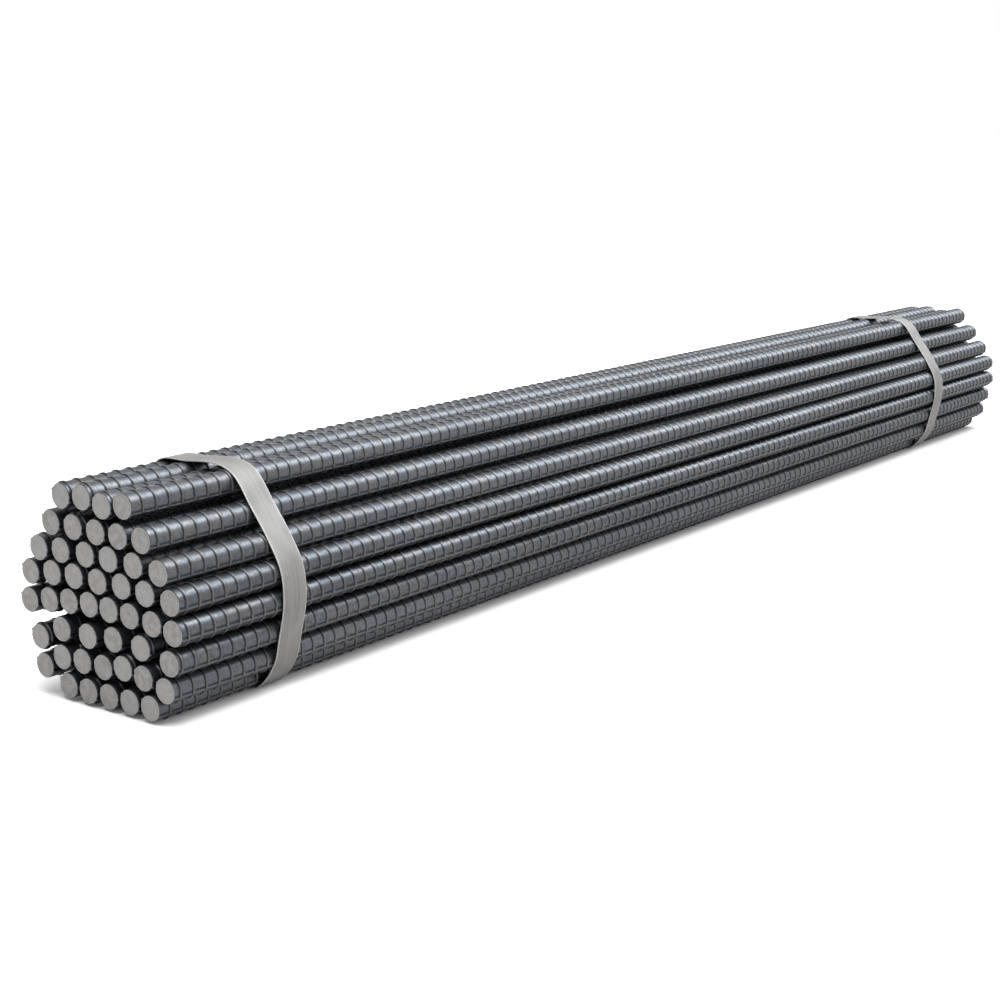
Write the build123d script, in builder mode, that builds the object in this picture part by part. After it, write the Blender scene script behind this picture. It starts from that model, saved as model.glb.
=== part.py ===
"""A strapped bundle of straight reinforcing bars, lying on the floor.

Units are millimetres. The bars lie along X, Z is up and Z = 0 is the floor that the straps lie on.
The origin is under the middle of the bundle. -X is the near end, which has its strap closer to it.
"""

from build123d import *
from itertools import combinations
from math import atan2, degrees, dist, hypot, sqrt
import os

# The bars: each is a plain round of the nominal size, which has the same section as the ribbed bar
bar_length = 1200.0
bar_diameter = 16.0
rib_stand = 0.45  # how far the rib crests stand out past the nominal round

# How the bars lie, row by row from the bottom. All ratios are to the bar pitch
row_counts = (5, 7, 6, 8, 7, 6, 5, 4)
row_height_ratios = (-2.85, -1.75, -0.8, 0.2, 1.1, 2.05, 2.95, 3.9)  # over the bundle's middle
row_droop_ratios = (0, 0.5, 0.5, 0.3, 0.2, 0.1, 0.1, 0.2)  # how far a row's ends hang below its middle
row_shift_ratios = (-0.3, 0, 0, 0, 0, 0, 0, 0.1)  # of a row towards +Y
reach_ratio = 3.5  # from the bundle's middle to the outermost bar centres
reach_height_ratio = 0.15  # height of the widest part of the bundle
closest_ratio = 0.9  # the least spacing that a loose row starts with
passing_ratio = 0.998  # bars this far apart slide past each other

# The straps, steel band pulled tight round the rib crests
strap_width = 19.0
strap_thickness = 0.7
near_strap_inset = 87.0  # from the bars' near ends to the middle of the strap
far_strap_inset = 158.0

# The crimped seals that hold the straps' lapped ends, at the back of the bundle
seal_angle = 45.0  # above level, seen from the bundle's middle
seal_length = 26.0
seal_thickness = 0.9
seal_clearance = 0.12
seal_lip = 4.5  # width of each edge folded under the strap
seal_bite = 2.2  # radius of the crimped bites
bite_spacing = 11.0
tail_length = 12.0  # of the strap's outer end, past the seal
covered_end = 12.0  # how far the outer end reaches past the seal's middle the other way
lap_gap = 0.6  # between the strap's inner end and the strap that crosses over it

crest_radius = bar_diameter / 2 + rib_stand
bar_pitch = 2 * crest_radius
lowest_ratio = row_height_ratios[0]
settling_rounds = 60


def laid_rows():
    """Bar centres of the loose rows in bar pitches, each row spread across the round of the bundle."""
    centres = []
    for count, height, droop, shift in zip(
        row_counts, row_height_ratios, row_droop_ratios, row_shift_ratios
    ):
        end_height = height - droop - reach_height_ratio
        chord = sqrt(max(reach_ratio**2 - end_height**2, 0))
        half_width = max(chord, closest_ratio * (count - 1) / 2)
        for place in range(count):
            across = 2 * place / (count - 1) - 1
            centres.append([half_width * across + shift, height - droop * across**2])
    return centres


def part_bars(centres):
    """Push bars that overlap apart, and up off the level of the bottom row."""
    for one, other in combinations(centres, 2):
        dy, dz = other[0] - one[0], other[1] - one[1]
        distance = hypot(dy, dz)
        if distance < 1:
            share = (1 - distance) / (2 * distance)
            one[0] -= dy * share
            one[1] -= dz * share
            other[0] += dy * share
            other[1] += dz * share
    for centre in centres:
        centre[1] = max(centre[1], lowest_ratio)


def slide(centre, target, resting):
    """Where a bar ends up that slides towards a target until a resting bar stops it."""
    (y, z), (target_y, target_z) = centre, target
    distance = hypot(target_y - y, target_z - z)
    step_y, step_z = (target_y - y) / distance, (target_z - z) / distance
    travel = distance
    for bar_y, bar_z in resting:
        ahead = (bar_y - y) * step_y + (bar_z - z) * step_z
        aside = abs((bar_y - y) * step_z - (bar_z - z) * step_y)
        if ahead > 0 and aside < passing_ratio:
            travel = min(travel, ahead - sqrt(1 - aside**2))
    return [y + step_y * travel, max(z + step_z * travel, lowest_ratio)]


def settled_bars():
    """Bar centres in millimetres, bottom up, once weight and straps have drawn the bars together."""
    centres = laid_rows()
    for _ in range(settling_rounds):
        part_bars(centres)
    bottom_count = row_counts[0]
    centres.sort(key=lambda centre: centre[1])
    resting = [[y, lowest_ratio] for y, z in centres[:bottom_count]]
    middle = (row_shift_ratios[0], lowest_ratio)
    for centre in sorted(centres[bottom_count:], key=lambda centre: dist(centre, middle)):
        resting.append(slide(centre, middle, resting))
    resting.sort(key=lambda centre: centre[1])
    middle_y = (max(y for y, z in resting) + min(y for y, z in resting)) / 2
    floor = strap_thickness + crest_radius
    return [((y - middle_y) * bar_pitch, (z - lowest_ratio) * bar_pitch + floor) for y, z in resting]


def convex_hull(points):
    """The outermost points in order, anticlockwise."""

    def half(ordered):
        chain = []
        for y, z in ordered:
            while len(chain) > 1:
                (y0, z0), (y1, z1) = chain[-2:]
                if (y1 - y0) * (z - z0) > (z1 - z0) * (y - y0):
                    break
                chain.pop()
            chain.append((y, z))
        return chain[:-1]

    return half(sorted(points)) + half(sorted(points, reverse=True))


bars = settled_bars()
outline = convex_hull(bars)
runs = list(zip(outline, outline[1:] + outline[:1]))
bundle_height = (max(z for y, z in bars) + min(z for y, z in bars)) / 2


def bearing(run):
    """How far the middle of a run lies above level, in degrees, seen from the bundle's middle."""
    (y0, z0), (y1, z1) = run
    return degrees(atan2((z0 + z1) / 2 - bundle_height, (y0 + y1) / 2))


def wrap(standoff):
    """The area inside a band pulled tight round the bars, standing off their rib crests."""
    with BuildSketch() as area:
        with BuildLine():
            Polyline(*outline, close=True)
        make_face()
        offset(amount=crest_radius + standoff)
    return area.sketch


# The straight run that the seal sits on, from bar to bar, and the strap's place on it
(run_y, run_z), (end_y, end_z) = min(runs, key=lambda run: abs(bearing(run) - seal_angle))
run_length = hypot(end_y - run_y, end_z - run_z)
out_y, out_z = (end_z - run_z) / run_length, (run_y - end_y) / run_length
seat_y = (run_y + end_y) / 2 + out_y * crest_radius
seat_z = (run_z + end_z) / 2 + out_z * crest_radius
seat_turn = degrees(atan2(-out_y, out_z))


def stretch(start, end, low, high):
    """A box along the seal's run from start to end, and from low to high off the rib crests."""
    with BuildSketch() as box:
        with Locations(Location((seat_y, seat_z, 0), (0, 0, seat_turn))):
            with Locations(((start + end) / 2, (low + high) / 2)):
                Rectangle(end - start, high - low)
    return box.sketch


def band(low, high, start=None, end=None):
    """The area between two wraps, all round or only over a stretch of the seal's run."""
    with BuildSketch() as ring:
        add(wrap(high))
        add(wrap(low), mode=Mode.SUBTRACT)
        if start is not None:
            add(stretch(start, end, -bar_pitch, bar_pitch), mode=Mode.INTERSECT)
    return ring.sketch


os.makedirs("parts", exist_ok=True)

for number, (bar_y, bar_z) in enumerate(bars, start=1):
    with BuildPart() as bar:
        with BuildSketch(Plane.YZ.offset(-bar_length / 2)):
            with Locations((bar_y, bar_z)):
                Circle(bar_diameter / 2)
        extrude(amount=bar_length)
    bar.part.label = f"bar_{number:02}"
    export_step(bar.part, f"parts/{bar.part.label}.step")

half_seal = seal_length / 2
lap_top = 2 * strap_thickness + seal_clearance
seal_width = strap_width + 2 * (seal_clearance + seal_thickness)
lip_depth = seal_clearance + seal_thickness
lip_reach = run_length / 2 - sqrt(2 * crest_radius * lip_depth)

for end_name, strap_middle in (
    ("near", near_strap_inset - bar_length / 2),
    ("far", bar_length / 2 - far_strap_inset),
):
    strap_plane = Plane.YZ.offset(strap_middle - strap_width / 2)
    seal_plane = Plane.YZ.offset(strap_middle - seal_width / 2)

    with BuildPart() as strap:
        with BuildSketch(strap_plane):
            add(band(0, strap_thickness))
            add(band(0, strap_thickness, 0, lap_gap), mode=Mode.SUBTRACT)
            add(band(strap_thickness, 2 * strap_thickness, -covered_end, half_seal + tail_length))
        extrude(amount=strap_width)
    strap.part.label = f"strap_{end_name}"
    export_step(strap.part, f"parts/{strap.part.label}.step")

    with BuildPart() as seal:
        with BuildSketch(seal_plane):
            add(band(0, lap_top + seal_thickness, -half_seal, half_seal))
        extrude(amount=seal_width)
        with BuildSketch(seal_plane.offset(seal_thickness)):
            add(band(-seal_clearance, lap_top, -seal_length, seal_length))
        extrude(amount=seal_width - 2 * seal_thickness, mode=Mode.SUBTRACT)
        for side_plane in (seal_plane, seal_plane.offset(seal_width - seal_thickness)):
            with BuildSketch(side_plane):
                add(stretch(-lip_reach, lip_reach, -lip_depth, strap_thickness))
            extrude(amount=seal_thickness)
        for lip_plane in (seal_plane, seal_plane.offset(seal_width - seal_lip)):
            with BuildSketch(lip_plane):
                add(stretch(-lip_reach, lip_reach, -lip_depth, -seal_clearance))
            extrude(amount=seal_lip)
        with BuildSketch(Plane((strap_middle, seat_y, seat_z), (1, 0, 0), (0, out_y, out_z))):
            with GridLocations(seal_width, bite_spacing, 2, 2):
                Circle(seal_bite)
        extrude(amount=bar_pitch, both=True, mode=Mode.SUBTRACT)
    seal.part.label = f"seal_{end_name}"
    export_step(seal.part, f"parts/{seal.part.label}.step")
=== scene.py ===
"""The looks of a strapped bundle of ribbed reinforcing bars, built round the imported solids.

Units are metres. The bars lie along X, Z is up, and -X is the near end, the one the camera sees.
"""

import math
import random

import bpy
import numpy as np
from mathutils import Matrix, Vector


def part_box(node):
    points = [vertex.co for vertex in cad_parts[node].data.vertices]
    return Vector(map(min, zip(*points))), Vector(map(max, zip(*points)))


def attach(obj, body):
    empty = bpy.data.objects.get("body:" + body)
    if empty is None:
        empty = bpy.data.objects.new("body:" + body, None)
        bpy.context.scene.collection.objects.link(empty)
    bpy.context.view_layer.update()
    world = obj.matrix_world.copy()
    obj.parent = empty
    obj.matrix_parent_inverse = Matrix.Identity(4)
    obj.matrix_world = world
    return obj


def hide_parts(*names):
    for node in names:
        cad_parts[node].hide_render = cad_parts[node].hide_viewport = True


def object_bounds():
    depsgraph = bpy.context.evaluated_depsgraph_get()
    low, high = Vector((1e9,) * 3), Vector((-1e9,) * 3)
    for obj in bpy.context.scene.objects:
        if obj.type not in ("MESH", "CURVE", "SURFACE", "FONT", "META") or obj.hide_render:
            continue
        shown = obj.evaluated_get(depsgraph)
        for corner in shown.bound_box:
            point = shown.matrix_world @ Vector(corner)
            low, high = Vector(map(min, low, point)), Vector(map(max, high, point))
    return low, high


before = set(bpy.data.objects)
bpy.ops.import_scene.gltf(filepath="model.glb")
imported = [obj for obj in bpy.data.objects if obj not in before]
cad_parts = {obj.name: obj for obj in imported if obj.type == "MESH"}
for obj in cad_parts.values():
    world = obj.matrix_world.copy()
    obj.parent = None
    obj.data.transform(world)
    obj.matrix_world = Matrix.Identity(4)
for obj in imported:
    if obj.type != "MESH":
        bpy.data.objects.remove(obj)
cad_low, cad_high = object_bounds()

# The ribbed bar
core_radius = 0.0076
rib_height = 0.0007
rib_pitch = 0.00973
rib_foot = 0.0024  # width of a rib at its foot, and then over its crest
rib_crest = 0.0006
seam_foot = 0.0023  # the same of the two ribs that run along the bar
seam_crest = 0.0007
seam_lie = math.radians(207)  # where the first long rib lies round the bar, from +Y towards +Z
seam_sway = 0.12  # how much that differs from bar to bar, in radians
seam_wear = 0.9  # how worn the long ribs are, next to the others
end_chamfer = 0.0004
end_scatter = 0.0008  # how unevenly the bars were cut to length
outer_sides = 9  # faces round each half of a bar between its long ribs
inner_sides = 7
open_gap = math.radians(112)  # a bar with no neighbour over such an angle is seen from outside
neighbour_reach = 3.2  # how near a neighbour's middle is, in radii over the rib crests
bar_seed = 5
sharp_angle = math.radians(28)  # edges sharper than this stay sharp, on the strap too

# Painted shade, dark lines at the feet of the cross ribs: where each starts and is full, in shares
# of the pitch
near_shade_rise = (0.81, 0.87)
near_shade_fall = (0.95, 0.91)
far_shade_fall = (0.18, 0.12)

# The strap, which lies on the rib crests and bends a little all along its way
strap_standoff = 0.00845  # from a bar's middle to the strap's inner face
strap_thickness = 0.0007
strap_edge = 0.00012  # its rounded edges
rub_and_highlight_width = 0.0009  # width of the pale line painted along each edge, a painted highlight of the rounded edge and its rubbing
strap_step = 0.0012
straight_run = 0.060  # a longer run between two bars stays straight
tail_reach = 0.025  # of the strap's outer end from the seal's middle, down the back
tail_cover = 0.012  # and the other way

# Colours of the bars' sides, of their cut ends, of the straps and of the seals
noise_span = (0.3, 0.7)  # the values that noise mostly has
skin_dark = (0.088, 0.095, 0.108)
skin_pale = (0.13, 0.139, 0.155)
skin_brown = (0.148, 0.13, 0.118)
skin_spot = (0.055, 0.057, 0.062)
skin_tone = (0.19, 0.2, 0.22)  # towards which each bar differs a little
# painted shade at the feet of the ribs, and the lighter painted shade on their far side
foot_shade_colour = (0.015, 0.015, 0.018)
far_foot_shade_colour = (0.04, 0.04, 0.044)
worn_pale = (0.17, 0.164, 0.154)
end_dark = (0.29, 0.283, 0.274)
end_pale = (0.39, 0.382, 0.371)
end_tone = (0.42, 0.411, 0.399)
end_line = (0.22, 0.215, 0.21)
# painted highlight of the cut end's rim
end_rim_highlight = (0.66, 0.65, 0.64)
band_dark = (0.205, 0.196, 0.188)
band_pale = (0.285, 0.274, 0.264)
band_cloud = (0.32, 0.308, 0.297)
band_stain = (0.165, 0.157, 0.151)
# painted highlight of the strap's edges, together with their rubbing
band_rub_and_highlight = (0.62, 0.615, 0.605)
seal_dark = (0.42, 0.42, 0.42)
seal_pale = (0.56, 0.56, 0.555)

# The camera, placed from the middle of the near faces
lens = 61.63
sensor = 36.0
camera_offset = Vector((-0.60998, -0.72101, 0.25506))
camera_yaw = math.radians(36.07)
camera_pitch = math.radians(-12.225)

# The light
strip_place = (1.25, -0.52, 1.25)
strip_target = Vector((1.25, 0, 0.07))
strip_size = (4.6, 0.8)
strip_radiance = 6.6
strip_colour = (0.88, 0.95, 1)
top_place = (-0.5, -0.7, 2.6)
top_size = (2.8, 2.2)
top_radiance = 3.2
high_world = 0.78  # strength of the world high up, and then high up behind the viewer
behind_world = 0.28
world_rise = (0.1, 0.35)  # heights between which it falls to that, and then the same along X
world_turn = (0.2, -0.5)

# The floor, which is shown paler than it is
floor_half = 60
floor_fade = (0.9, 4)  # distances from the bundle's middle between which near turns into far
true_floor = 0.86  # how pale the floor is, and how pale reflections show it near the bundle
near_floor = 1.6  # for the camera alone, so that only the shadow's core is darker than white
far_floor = 2.4  # for the camera and for reflections


def mesh_object(name, points, faces, materials):
    """A new object in the scene, from points and faces."""
    mesh = bpy.data.meshes.new(name)
    mesh.from_pydata(points, [], faces)
    piece = bpy.data.objects.new(name, mesh)
    bpy.context.scene.collection.objects.link(piece)
    for material in materials:
        mesh.materials.append(material)
    return piece


def store(mesh, name, kind, domain, values):
    """Store values on a mesh, one for each point, face or edge."""
    mesh.attributes.new(name, kind, domain).data.foreach_set("value", values)


def node(tree, kind, inputs=None, **settings):
    """A shader node with its settings, and the values of its unlinked inputs."""
    made = tree.nodes.new(kind)
    for key, value in (inputs or {}).items():
        made.inputs[key].default_value = value
    for key, value in settings.items():
        setattr(made, key, value)
    return made


def new_material(name):
    """A material with only a Principled shader, with its node tree and that shader."""
    material = bpy.data.materials.new(name)
    material.use_nodes = True
    tree = material.node_tree
    tree.nodes.clear()
    output = node(tree, "ShaderNodeOutputMaterial")
    shader = node(tree, "ShaderNodeBsdfPrincipled")
    tree.links.new(shader.outputs["BSDF"], output.inputs["Surface"])
    return material, tree, shader


def calculate(tree, operation, first, second=0.0):
    """The output of one Math node. Its inputs are sockets or numbers."""
    made = node(tree, "ShaderNodeMath", operation=operation)
    for place, value in enumerate((first, second)):
        if isinstance(value, bpy.types.NodeSocket):
            tree.links.new(value, made.inputs[place])
        else:
            made.inputs[place].default_value = value
    return made.outputs[0]


def product(tree, first, second):
    """Two sockets or numbers multiplied."""
    return calculate(tree, "MULTIPLY", first, second)


def ramp(tree, value, low, high, to_low=0.0, to_high=1.0):
    """Value mapped smoothly from low..high to to_low..to_high."""
    limits = {"From Min": low, "From Max": high, "To Min": to_low, "To Max": to_high}
    made = node(tree, "ShaderNodeMapRange", limits, interpolation_type="SMOOTHSTEP")
    tree.links.new(value, made.inputs["Value"])
    return made.outputs["Result"]


def mixed(tree, share, first, second):
    """Two colours mixed by share. Each is a socket or a colour."""
    made = node(tree, "ShaderNodeMix", data_type="RGBA")
    for place, value in ((0, share), (6, first), (7, second)):
        if isinstance(value, bpy.types.NodeSocket):
            tree.links.new(value, made.inputs[place])
        else:
            made.inputs[place].default_value = (*value, 1)
    return made.outputs[2]


def noise(tree, vector, scale, detail=3.0, stretch=(1, 1, 1)):
    """Noise over a stretched vector."""
    mapping = node(tree, "ShaderNodeMapping", {"Scale": stretch})
    tree.links.new(vector, mapping.inputs["Vector"])
    made = node(tree, "ShaderNodeTexNoise", {"Scale": scale, "Detail": detail})
    tree.links.new(mapping.outputs["Vector"], made.inputs["Vector"])
    return made.outputs["Fac"]


def attribute(tree, name):
    """A value stored on the mesh."""
    return node(tree, "ShaderNodeAttribute", attribute_name=name).outputs["Fac"]


def surface_place(tree):
    """The place on the object, for patterns that fill space."""
    return node(tree, "ShaderNodeTexCoord").outputs["Object"]


def bump(tree, shader, height, distance, strength):
    """Fine relief from a height."""
    made = node(tree, "ShaderNodeBump", {"Distance": distance, "Strength": strength})
    tree.links.new(height, made.inputs["Height"])
    tree.links.new(made.outputs["Normal"], shader.inputs["Normal"])


def uv_of(tree, name):
    """A UV map's output."""
    return node(tree, "ShaderNodeUVMap", uv_map=name).outputs["UV"]


def parts_of(tree, vector):
    """The X, Y and Z of a vector."""
    split = node(tree, "ShaderNodeSeparateXYZ")
    tree.links.new(vector, split.inputs[0])
    return split.outputs


def length_of(tree, vector):
    """How long a vector is."""
    made = node(tree, "ShaderNodeVectorMath", operation="LENGTH")
    tree.links.new(vector, made.inputs[0])
    return made.outputs["Value"]


def bar_side_steel():
    """Rolled steel with its skin: satin blue-grey, worn pale on the ribs, with shade painted dark
    at their feet.
    """
    material, tree, shader = new_material("rolled_steel")
    place = surface_place(tree)
    between = calculate(tree, "FRACT", parts_of(tree, uv_of(tree, "bar"))["X"])
    streaks = noise(tree, place, 60, 4, (0.12, 1, 1))
    mottle = noise(tree, place, 420, 5)
    patches = noise(tree, place, 90, 3)
    # masks for the painted shade at the near and far feet of each cross rib
    near_foot_shade = product(
        tree, ramp(tree, between, *near_shade_rise), ramp(tree, between, *near_shade_fall)
    )
    far_foot_shade = ramp(tree, between, *far_shade_fall)

    skin = mixed(tree, ramp(tree, streaks, *noise_span), skin_dark, skin_pale)
    skin = mixed(tree, ramp(tree, patches, 0.45, 0.7, 0, 0.6), skin, skin_brown)
    skin = mixed(tree, ramp(tree, mottle, 0.42, 0.68, 0, 0.65), skin, skin_spot)
    skin = mixed(tree, product(tree, attribute(tree, "tone"), 0.25), skin, skin_tone)
    # painted shade: dark lines at the feet of the cross ribs, heavier on the near side
    skin = mixed(tree, product(tree, near_foot_shade, 0.8), skin, foot_shade_colour)
    skin = mixed(tree, product(tree, far_foot_shade, 0.35), skin, far_foot_shade_colour)
    # painted shade at the feet of the long ribs
    skin = mixed(tree, ramp(tree, attribute(tree, "seam_shade"), 0.35, 0.9, 0, 0.85), skin, foot_shade_colour)
    skin = mixed(tree, ramp(tree, attribute(tree, "crest"), 0.82, 1.0, 0, 0.6), skin, worn_pale)
    tree.links.new(skin, shader.inputs["Base Color"])
    shader.inputs["Metallic"].default_value = 0.85
    tree.links.new(ramp(tree, mottle, *noise_span, 0.34, 0.46), shader.inputs["Roughness"])
    bump(tree, shader, mottle, 0.00012, 0.6)
    return material


def bar_end_steel():
    """The cut end of a bar: dull grey, faintly mottled, with a dark line just inside its rim and a
    highlight painted on the rim.
    """
    material, tree, shader = new_material("cut_end_steel")
    place = surface_place(tree)
    radius = length_of(tree, uv_of(tree, "bar"))
    mottle = noise(tree, place, 260, 5)
    grain = noise(tree, place, 1900, 3)
    line = product(tree, ramp(tree, radius, 0.80, 0.88), ramp(tree, radius, 0.96, 0.89))
    face = mixed(tree, ramp(tree, mottle, 0.35, 0.65), end_dark, end_pale)
    face = mixed(tree, product(tree, attribute(tree, "tone"), 0.6), face, end_tone)
    face = mixed(tree, product(tree, line, 0.35), face, end_line)
    # painted highlight round the rim of the cut end
    face = mixed(tree, ramp(tree, radius, 0.93, 0.98, 0, 0.6), face, end_rim_highlight)
    tree.links.new(face, shader.inputs["Base Color"])
    shader.inputs["Metallic"].default_value = 0.3
    shader.inputs["Roughness"].default_value = 0.6
    bump(tree, shader, grain, 0.00008, 0.5)
    return material


def strap_steel(half_width):
    """Bare strapping: smooth, brushed along its length, with a highlight painted along each edge
    that also stands for its rubbing.
    """
    material, tree, shader = new_material("strapping_steel")
    along = uv_of(tree, "band")
    aside = calculate(tree, "ABSOLUTE", parts_of(tree, along)["Y"])
    brushed = noise(tree, along, 1, 4, (14, 1100, 1))
    cloud = noise(tree, along, 1, 3, (45, 60, 1))
    # painted highlight along the edges, together with their rubbing
    rub_and_highlight = ramp(tree, aside, half_width - rub_and_highlight_width, half_width - strap_edge, 0, 0.8)
    steel = mixed(tree, ramp(tree, brushed, *noise_span), band_dark, band_pale)
    steel = mixed(tree, ramp(tree, cloud, 0.45, 0.75, 0, 0.6), steel, band_cloud)
    steel = mixed(tree, ramp(tree, cloud, 0.5, 0.25, 0, 0.6), steel, band_stain)
    steel = mixed(tree, rub_and_highlight, steel, band_rub_and_highlight)
    tree.links.new(steel, shader.inputs["Base Color"])
    shader.inputs["Metallic"].default_value = 0.35
    tree.links.new(ramp(tree, brushed, *noise_span, 0.58, 0.7), shader.inputs["Roughness"])
    bump(tree, shader, brushed, 0.00003, 0.5)
    return material


def seal_steel():
    """The crimped seals: a little brighter than the strap, with small scuffs."""
    material, tree, shader = new_material("sealing_steel")
    scuffs = noise(tree, surface_place(tree), 500, 6, (1, 0.3, 0.3))
    steel = mixed(tree, ramp(tree, scuffs, 0.35, 0.7), seal_dark, seal_pale)
    tree.links.new(steel, shader.inputs["Base Color"])
    shader.inputs["Metallic"].default_value = 0.9
    tree.links.new(ramp(tree, scuffs, *noise_span, 0.28, 0.45), shader.inputs["Roughness"])
    bump(tree, shader, scuffs, 0.00004, 0.5)
    return material


def round_stations(sides):
    """Angles round a bar, the share of the long ribs' height there, and where their feet are."""
    angles, heights, feet = [], [], []
    foot, crest = (width / 2 / core_radius for width in (seam_foot, seam_crest))
    for start in (0, math.pi):
        for turn, height in ((-foot, 0), (-crest, 1), (crest, 1), (foot, 0)):
            angles.append(start + turn)
            heights.append(height)
            feet.append(1 - height)
        arc = math.pi - 2 * foot
        for step in range(1, sides):
            angles.append(start + foot + arc * step / sides)
            heights.append(0)
            feet.append(0)
    return np.array(angles), np.array(heights), np.array(feet)


def long_stations(low, high, first, detailed):
    """Places along a bar, each with the share of the ribs' height there."""
    crest = (-rib_crest, rib_crest) if detailed else (0,)
    profile = [(-rib_foot, 0), *((place, 1) for place in crest), (rib_foot, 0)]
    places, heights = [low], [0]
    for rib in range(int((high - first - rib_foot) / rib_pitch) + 1):
        for width, height in profile:
            places.append(first + rib * rib_pitch + width / 2)
            heights.append(height)
    return np.array(places + [high]), np.array(heights + [0])


def ribbed_bar(name, rng, detailed, materials):
    """One bar with its ribs, in the place of its plain solid."""
    low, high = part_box(name)
    centre_y, centre_z = (low.y + high.y) / 2, (low.z + high.z) / 2
    near, far = low.x + rng.random() * end_scatter, high.x - rng.random() * end_scatter
    first_rib = near + rib_foot + rng.random() * (rib_pitch - rib_foot)
    tone = rng.random()
    turn = seam_lie + rng.uniform(-seam_sway, seam_sway)
    angles, seam, feet = round_stations(outer_sides if detailed else inner_sides)
    places, ribs = long_stations(near + end_chamfer, far - end_chamfer, first_rib, detailed)

    height = np.maximum(ribs[:, None], seam[None, :])
    end_radius = 0 * seam + core_radius - end_chamfer
    radius = np.vstack([end_radius, core_radius + rib_height * height, end_radius])
    crest = np.vstack([0 * seam, np.maximum(ribs[:, None], seam_wear * seam[None, :]), 0 * seam])
    # where shade is painted at the feet of the long ribs
    seam_shade = np.vstack([0 * seam, (1 - ribs[:, None]) * feet[None, :], 0 * seam])
    along = np.concatenate([[near], places, [far]])
    rows, columns = radius.shape
    grid = np.empty((rows, columns, 3))
    grid[..., 0] = along[:, None]
    grid[..., 1] = centre_y + radius * np.cos(angles + turn)
    grid[..., 2] = centre_z + radius * np.sin(angles + turn)
    points = grid.reshape(-1, 3)

    row, column = (part.ravel() for part in np.indices((rows - 1, columns)))
    after = (column + 1) % columns
    quads = [row * columns + column, (row + 1) * columns + column]
    quads += [(row + 1) * columns + after, row * columns + after]
    near_end = list(range(columns))
    far_end = [(rows - 1) * columns + place for place in reversed(near_end)]
    faces = np.stack(quads, -1).tolist() + [near_end, far_end]

    piece = mesh_object(f"ribbed_{name}", points.tolist(), faces, materials)
    mesh = piece.data
    cut = np.zeros(len(faces), np.int32)
    cut[-2:] = 1
    store(mesh, "material_index", "INT", "FACE", cut)
    store(mesh, "crest", "FLOAT", "POINT", crest.ravel().astype(np.float32))
    store(mesh, "seam_shade", "FLOAT", "POINT", seam_shade.ravel().astype(np.float32))
    store(mesh, "tone", "FLOAT", "POINT", np.full(len(points), tone, np.float32))
    rib_place = (along - first_rib) / rib_pitch
    across = np.stack([rib_place[row], column / columns], -1)
    after_rib = np.stack([rib_place[row + 1], column / columns], -1)
    lift = np.array([0, 1 / columns])
    side_uv = np.stack([across, after_rib, after_rib + lift, across + lift], 1).reshape(-1, 2)
    end_points = points[near_end + far_end][:, 1:]
    end_uv = (end_points - [centre_y, centre_z]) / (core_radius - end_chamfer)
    uv = np.vstack([side_uv, end_uv]).astype(np.float32)
    mesh.uv_layers.new(name="bar").data.foreach_set("uv", uv.ravel())
    mesh.shade_smooth()
    mesh.set_sharp_from_angle(angle=sharp_angle)
    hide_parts(name)
    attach(piece, "root")


def bar_centres():
    """Each bar's name and the place of its middle line, as Y and Z."""
    centres = {}
    for name in sorted(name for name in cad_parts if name.startswith("bar_")):
        low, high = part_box(name)
        centres[name] = np.array([(low.y + high.y) / 2, (low.z + high.z) / 2])
    return centres


def is_seen(name, centres):
    """Whether a bar can be seen from outside the bundle, beyond its ends."""
    reach = neighbour_reach * (core_radius + rib_height)
    apart = [other - centres[name] for key, other in centres.items() if key != name]
    turns = sorted(math.atan2(z, y) for y, z in apart if math.hypot(y, z) < reach)
    gaps = [b - a for a, b in zip(turns, turns[1:] + [turns[0] + 2 * math.pi])]
    return max(gaps) > open_gap


def make_bars(centres):
    """All the bars, with the outer ones in full detail."""
    rng = random.Random(bar_seed)
    materials = (bar_side_steel(), bar_end_steel())
    for name in centres:
        ribbed_bar(name, rng, is_seen(name, centres), materials)


def turned_out(direction):
    """The outward normal of a run that goes anticlockwise."""
    return np.array([direction[1], -direction[0]])


def unit(vector):
    """A vector's direction."""
    return vector / np.linalg.norm(vector)


def outline(centres):
    """The middles of the outermost bars, anticlockwise."""

    def half(ordered):
        chain = []
        for point in ordered:
            while len(chain) > 1:
                run, step = chain[-1] - chain[-2], point - chain[-2]
                if run[0] * step[1] > step[0] * run[1]:
                    break
                chain.pop()
            chain.append(point)
        return chain[:-1]

    ordered = sorted(centres.values(), key=tuple)
    return half(ordered) + half(ordered[::-1])


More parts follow.
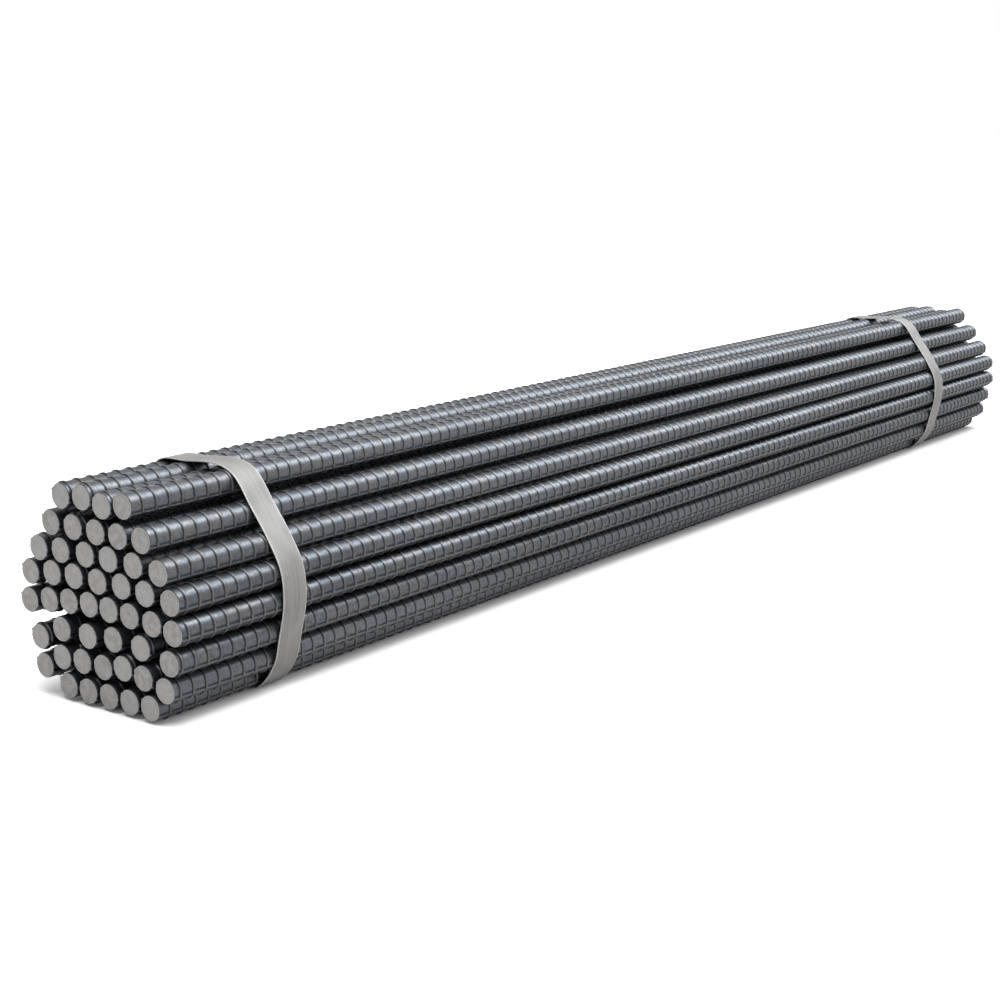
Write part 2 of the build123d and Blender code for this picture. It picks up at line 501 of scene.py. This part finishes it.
def strap_route(centres, seal_place):
    """Points of a strap's inner face, all round from the seal's middle, and the normals there."""
    corners = outline(centres)
    ends = corners[1:] + corners[:1]
    runs = [unit(end - corner) for corner, end in zip(corners, ends)]
    middles = [(corner + end) / 2 for corner, end in zip(corners, ends)]
    seal_run = min(range(len(runs)), key=lambda k: np.linalg.norm(middles[k] - seal_place))
    lengths = [np.linalg.norm(end - corner) for corner, end in zip(corners, ends)]
    straight = [k == seal_run or length > straight_run for k, length in enumerate(lengths)]

    knots = []
    for step in range(len(corners)):
        k = (seal_run + 1 + step) % len(corners)
        before = runs[k - 1]
        if straight[k - 1]:
            heading = before
        elif straight[k]:
            heading = runs[k]
        else:
            heading = unit(before + runs[k])
        knots.append((corners[k] + strap_standoff * turned_out(heading), heading))
    middle = (knots[0][0] + knots[-1][0]) / 2
    knots = [(middle, runs[seal_run]), *knots, (middle, runs[seal_run])]

    points, headings = [], []
    for (start, leave), (end, arrive) in zip(knots, knots[1:]):
        length = np.linalg.norm(end - start)
        share = np.arange(0, 1, 1 / math.ceil(length / strap_step))[:, None]
        points.append(
            (2 * share**3 - 3 * share**2 + 1) * start
            + (share**3 - 2 * share**2 + share) * length * leave
            + (3 * share**2 - 2 * share**3) * end
            + (share**3 - share**2) * length * arrive
        )
        headings.append(
            6 * (share**2 - share) * (start - end)
            + (3 * share**2 - 4 * share + 1) * length * leave
            + (3 * share**2 - 2 * share) * length * arrive
        )
    points, headings = np.vstack(points), np.vstack(headings)
    normals = np.stack([headings[:, 1], -headings[:, 0]], -1)
    return points, normals / np.linalg.norm(normals, axis=1)[:, None]


def band_mesh(points, normals, middle_x, half_width, closed):
    """Points, faces and UVs of a band along a route, with its edges rounded."""
    edge, thick = strap_edge, strap_thickness
    section = [(half_width - edge, 0), (half_width, edge), (half_width, thick - edge)]
    section += [(half_width - edge, thick)]
    section += [(-across, out) for across, out in reversed(section)]
    count, sides = len(points), len(section)
    grid = np.empty((count, sides, 3))
    for place, (across, out) in enumerate(section):
        grid[:, place, 0] = middle_x + across
        grid[:, place, 1:] = points + normals * out
    travelled = np.concatenate([[0], np.cumsum(np.linalg.norm(np.diff(points, axis=0), axis=1))])
    faces, uv = [], []
    for row in range(count if closed else count - 1):
        following = (row + 1) % count
        start, end = row * sides, following * sides
        near = travelled[row]
        far = travelled[following] if following else travelled[-1] + strap_step
        for place in range(sides):
            after = (place + 1) % sides
            faces.append([start + place, start + after, end + after, end + place])
            here, there = section[place][0], section[after][0]
            uv += [(near, here), (near, there), (far, there), (far, here)]
    if not closed:
        first_cap = list(range(sides))[::-1]
        last_cap = [(count - 1) * sides + place for place in range(sides)]
        for cap in (first_cap, last_cap):
            faces.append(cap)
            uv += [(0, section[corner % sides][0]) for corner in cap]
    return grid.reshape(-1, 3), faces, uv


def make_strap(end_name, centres, material):
    """One strap with its lapped outer end, in the place of its solid."""
    low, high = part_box(f"strap_{end_name}")
    seal_low, seal_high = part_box(f"seal_{end_name}")
    seal_middle = (seal_low + seal_high) / 2
    points, normals = strap_route(centres, np.array([seal_middle.y, seal_middle.z]))
    middle_x, half_width = (low.x + high.x) / 2, (high.x - low.x) / 2
    ring, faces, uv = band_mesh(points, normals, middle_x, half_width, closed=True)
    before, after = round(tail_reach / strap_step), round(tail_cover / strap_step)
    lap = np.roll(points, before, axis=0)[: before + after]
    lap_normals = np.roll(normals, before, axis=0)[: before + after]
    outer, outer_faces, outer_uv = band_mesh(
        lap + lap_normals * strap_thickness, lap_normals, middle_x, half_width, closed=False
    )
    faces += [[corner + len(ring) for corner in face] for face in outer_faces]
    both = np.vstack([ring, outer]).tolist()
    piece = mesh_object(f"steel_strap_{end_name}", both, faces, [material])
    mesh = piece.data
    uv_layer = mesh.uv_layers.new(name="band")
    uv_layer.data.foreach_set("uv", np.array(uv + outer_uv, np.float32).ravel())
    mesh.shade_smooth()
    mesh.set_sharp_from_angle(angle=sharp_angle)
    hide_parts(f"strap_{end_name}")
    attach(piece, "root")


def make_straps(centres):
    """Both straps, and the finish of their seals."""
    low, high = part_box("strap_near")
    strap_finish, seal_finish = strap_steel((high.x - low.x) / 2), seal_steel()
    for end_name in ("near", "far"):
        make_strap(end_name, centres, strap_finish)
        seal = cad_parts[f"seal_{end_name}"]
        seal.data.materials.clear()
        seal.data.materials.append(seal_finish)


def make_floor():
    """A wide pale floor, white to the camera, that keeps the bundle's shadow."""
    material = bpy.data.materials.new("studio_floor")
    material.use_nodes = True
    tree = material.node_tree
    tree.nodes.clear()
    output = node(tree, "ShaderNodeOutputMaterial")
    diffuse = node(tree, "ShaderNodeBsdfDiffuse")
    path = node(tree, "ShaderNodeLightPath")
    glossy, through = path.outputs["Is Glossy Ray"], path.outputs["Is Transmission Ray"]
    mirrored = calculate(tree, "MAXIMUM", glossy, through)
    distance = length_of(tree, surface_place(tree))
    colour = true_floor
    for shown, paleness in ((path.outputs["Is Camera Ray"], near_floor), (mirrored, true_floor)):
        extra = ramp(tree, distance, *floor_fade, paleness - true_floor, far_floor - true_floor)
        colour = calculate(tree, "ADD", product(tree, shown, extra), colour)
    tree.links.new(colour, diffuse.inputs["Color"])
    tree.links.new(diffuse.outputs[0], output.inputs["Surface"])
    half = floor_half
    corners = [(-half, -half, 0), (half, -half, 0), (half, half, 0), (-half, half, 0)]
    mesh_object("floor", corners, [(0, 1, 2, 3)], [material])


def area_lamp(name, place, target, size, radiance, colour=(1, 1, 1)):
    """A lamp at place, turned to target, as bright as radiance says."""
    data = bpy.data.lights.new(name, "AREA")
    data.shape = "RECTANGLE"
    data.size, data.size_y = size
    data.energy = radiance * math.pi * size[0] * size[1]
    data.color = colour
    lamp = bpy.data.objects.new(name, data)
    lamp.location = place
    lamp.rotation_euler = (target - Vector(place)).to_track_quat("-Z", "Y").to_euler()
    bpy.context.scene.collection.objects.link(lamp)
    return lamp


def make_light():
    """A white world, dimmer high up behind the viewer, a top lamp and a strip lamp for gleams."""
    world = bpy.data.worlds.new("studio")
    bpy.context.scene.world = world
    world.use_nodes = True
    tree = world.node_tree
    tree.nodes.clear()
    output = node(tree, "ShaderNodeOutputWorld")
    background = node(tree, "ShaderNodeBackground", {"Color": (1, 1, 1, 1)})
    direction = parts_of(tree, node(tree, "ShaderNodeTexCoord").outputs["Generated"])
    high = ramp(tree, direction["Z"], *world_rise)
    behind = ramp(tree, direction["X"], *world_turn)
    drop = ramp(tree, behind, 0, 1, 1 - high_world, 1 - behind_world)
    strength = calculate(tree, "SUBTRACT", 1.0, product(tree, high, drop))
    tree.links.new(strength, background.inputs["Strength"])
    tree.links.new(background.outputs[0], output.inputs["Surface"])
    area_lamp("top_lamp", top_place, Vector((0, 0, 0)), top_size, top_radiance)
    strip = area_lamp(
        "strip_lamp", strip_place, strip_target, strip_size, strip_radiance, strip_colour
    )
    strip.visible_diffuse = False


def make_camera():
    """The photograph's viewpoint."""
    data = bpy.data.cameras.new("camera")
    data.lens = lens
    data.sensor_width = sensor
    camera = bpy.data.objects.new("camera", data)
    near_middle = Vector((cad_low.x, 0, (cad_low.z + cad_high.z) / 2))
    camera.location = near_middle + camera_offset
    forward = Vector(
        (
            math.cos(camera_pitch) * math.cos(camera_yaw),
            math.cos(camera_pitch) * math.sin(camera_yaw),
            math.sin(camera_pitch),
        )
    )
    camera.rotation_euler = forward.to_track_quat("-Z", "Y").to_euler()
    bpy.context.scene.collection.objects.link(camera)
    bpy.context.scene.camera = camera


make_camera()
middles = bar_centres()
make_bars(middles)
make_straps(middles)
make_floor()
make_light()
bpy.context.scene.view_settings.view_transform = "Standard"
